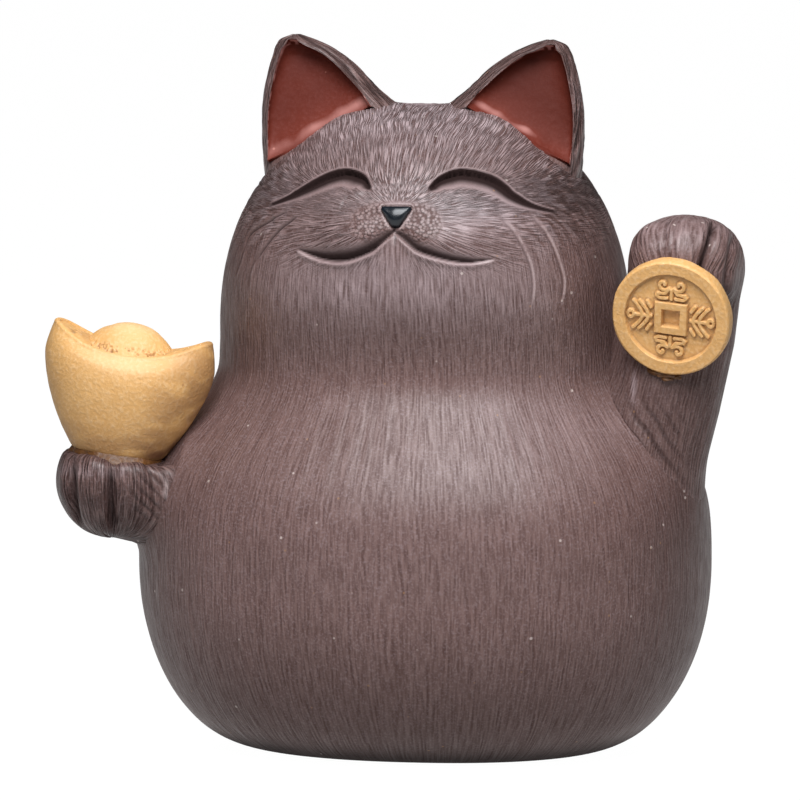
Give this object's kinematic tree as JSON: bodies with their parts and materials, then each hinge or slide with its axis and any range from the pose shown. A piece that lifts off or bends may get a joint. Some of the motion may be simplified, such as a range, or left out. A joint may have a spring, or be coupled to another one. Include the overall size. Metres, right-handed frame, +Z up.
{
  "type": "tea pet",
  "caption": "Seated lucky cat tea pet of combed unglazed clay, hollow, holding a boat-shaped ingot and a raised coin.",
  "frame": {"origin": "centre of the flat base, on the surface that the figure stands on", "axes": "+Z up, -Y out of the cat's face, +X towards the raised arm"},
  "size_m": [0.0852, 0.0584, 0.0881],
  "materials": {
    "clay_body": "satin unglazed purple-brown stoneware, combed into fine fur",
    "red_clay": "satin unglazed red-brown stoneware, tooled smooth",
    "yellow_clay": "matt unglazed yellow stoneware with fine sand grain",
    "slip_clay": "rough luting slip, darker yellow",
    "black_glaze": "glossy black glaze"
  },
  "bodies": {
    "root": {"base_slab": "clay_body", "torso": "clay_body", "head": "clay_body", "right_ear": "clay_body", "left_ear": "clay_body", "right_ear_lining": "red_clay", "left_ear_lining": "red_clay", "nose": "black_glaze", "raised_arm": "clay_body", "holding_arm": "clay_body", "tail": "clay_body", "ingot_slip": "slip_clay", "ingot_boat": "yellow_clay", "ingot_dome": "yellow_clay", "coin": "yellow_clay", "coin_slip": "slip_clay"}
  },
  "joints": []
}
